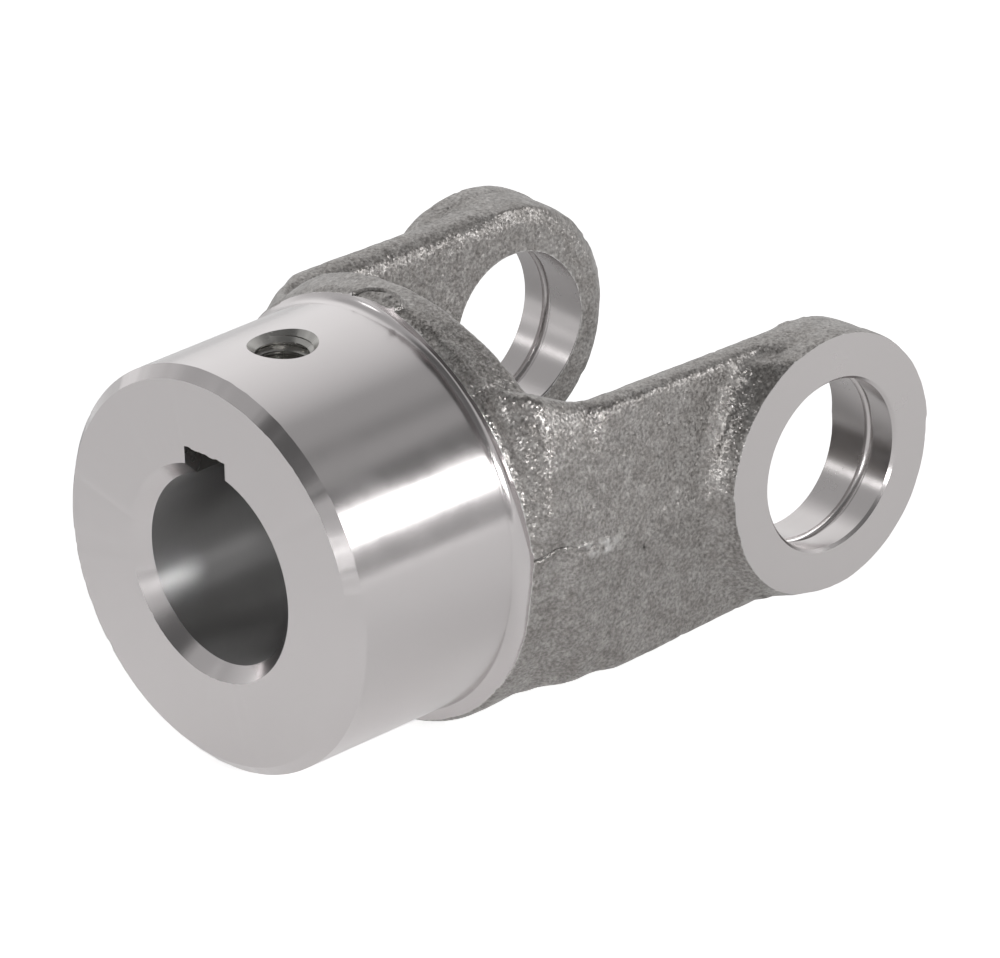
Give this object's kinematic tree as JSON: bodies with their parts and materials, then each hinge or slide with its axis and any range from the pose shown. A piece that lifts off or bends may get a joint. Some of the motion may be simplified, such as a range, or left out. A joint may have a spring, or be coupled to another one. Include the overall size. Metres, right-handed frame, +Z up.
{
  "type": "forged yoke",
  "caption": "Forged steel universal joint yoke: turned hub with keyed bore and set screw hole, two arms with bored ears and snap ring grooves.",
  "frame": {"origin": "joint centre, where the hub axis meets the axis of the cross bores", "axes": "+X along the hub axis from the hub towards the ears, +Y along the cross bore axis, +Z up through the set screw hole and keyway"},
  "size_m": [0.1108, 0.0808, 0.0698],
  "materials": {
    "forged_steel": "shot-blasted grey forged skin, with bright turned, bored and faced surfaces"
  },
  "bodies": {
    "root": {"yoke": "forged_steel"}
  },
  "joints": []
}
